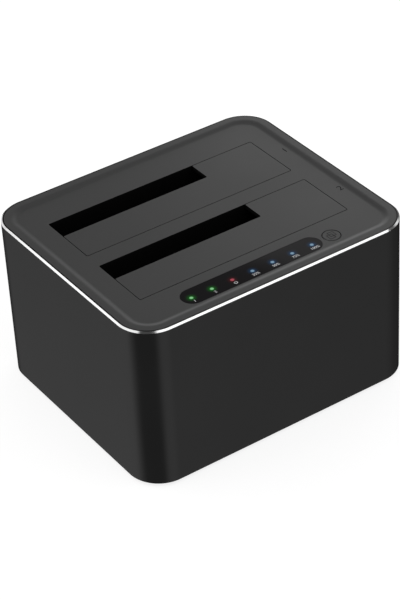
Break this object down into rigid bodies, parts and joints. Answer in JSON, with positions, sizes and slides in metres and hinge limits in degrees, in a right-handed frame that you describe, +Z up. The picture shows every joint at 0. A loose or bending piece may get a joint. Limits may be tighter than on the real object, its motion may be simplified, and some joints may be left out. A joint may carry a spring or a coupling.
{
  "type": "drive duplicator",
  "caption": "Upright docking station that takes bare disk drives side by side and copies one drive to another, with sprung flaps over its bays and a row of status lights.",
  "frame": {"origin": "on the resting plane under the rubber feet, at the middle of the plan", "axes": "+X to the user's right along the long side, -Y towards the user and the status lights, +Z up out of the drive bays"},
  "size_m": [0.136, 0.115, 0.078],
  "materials": {
    "black_anodised_aluminium": "black anodised, fine satin, with a bright cut edge round the top",
    "black_abs": "moulded ABS with a fine matt grain",
    "black_abs_inner": "moulded ABS, plain",
    "black_rubber": "matt moulded rubber",
    "zinc_steel": "zinc plated",
    "bright_steel": "bright drawn",
    "nickel_steel": "nickel plated",
    "gold_plated_contacts": "gold plated",
    "smoked_acrylic": "smoked acrylic, polished",
    "green_light": "lit clear acrylic",
    "red_light": "lit clear acrylic",
    "blue_light": "lit clear acrylic",
    "white_ceramic": "moulded led housings",
    "green_circuit_board": "glass epoxy with green solder mask",
    "black_epoxy": "moulded epoxy",
    "white_flat_cable": "laminated polyester",
    "ivory_nylon": "moulded nylon",
    "black_nylon": "moulded glass-filled nylon",
    "blue_nylon": "moulded nylon",
    "capacitor_aluminium": "drawn can",
    "grey_ferrite": "pressed ferrite"
  },
  "bodies": {
    "chassis": {"aluminium_shell": "black_anodised_aluminium", "top_cover": "black_abs", "base_plate": "black_abs", "rubber_feet": "black_rubber", "base_screws": "zinc_steel", "drive_well_a": "black_abs_inner", "drive_well_b": "black_abs_inner", "well_screws": "zinc_steel", "flap_pin_a": "bright_steel", "flap_pin_b": "bright_steel", "flap_spring_a": "bright_steel", "flap_spring_b": "bright_steel", "led_window": "smoked_acrylic", "light_pipes_green": "green_light", "light_pipe_red": "red_light", "light_pipes_blue": "blue_light", "led_chips": "white_ceramic", "led_board": "green_circuit_board", "led_board_screws": "zinc_steel", "clone_switch": "black_epoxy", "led_ribbon": "white_flat_cable", "ribbon_connectors": "ivory_nylon", "main_board": "green_circuit_board", "board_screws": "zinc_steel", "sata_connector_a": "black_nylon", "sata_connector_b": "black_nylon", "sata_contacts_a": "gold_plated_contacts", "sata_contacts_b": "gold_plated_contacts", "controller_chips": "black_epoxy", "capacitors": "capacitor_aluminium", "power_inductor": "grey_ferrite", "crystal": "bright_steel", "rear_port_panel": "black_abs", "usb_port": "nickel_steel", "usb_tongue": "blue_nylon", "dc_jack": "black_nylon", "dc_jack_pin": "nickel_steel", "power_switch": "black_nylon"},
    "flap_a": {"bay_flap_a": "black_abs"},
    "flap_b": {"bay_flap_b": "black_abs"},
    "clone_key": {"clone_button": "black_abs", "clone_plunger": "ivory_nylon"},
    "power_key": {"power_button": "black_abs"}
  },
  "joints": [
    {"name": "flap_a_hinge", "type": "hinge", "parent": "chassis", "child": "flap_a", "pos_m": [0, 0.0069, 0.0751], "axis": [-1, 0, 0], "range_deg": [0, 90], "stiffness_Nm_per_rad": 0.004, "springref_deg": -45.84, "deforming": ["flap_spring_a"]},
    {"name": "flap_b_hinge", "type": "hinge", "parent": "chassis", "child": "flap_b", "pos_m": [0, -0.0321, 0.0751], "axis": [-1, 0, 0], "range_deg": [0, 90], "stiffness_Nm_per_rad": 0.004, "springref_deg": -45.84, "deforming": ["flap_spring_b"]},
    {"name": "clone_press", "type": "slide", "parent": "chassis", "child": "clone_key", "axis": [0, 0, -1], "range_m": [0, 0.0005], "stiffness_N_per_m": 300, "springref_m": -0.002},
    {"name": "power_press", "type": "slide", "parent": "chassis", "child": "power_key", "axis": [0, -1, 0], "range_m": [0, 0.002], "stiffness_N_per_m": 250, "springref_m": -0.002}
  ]
}
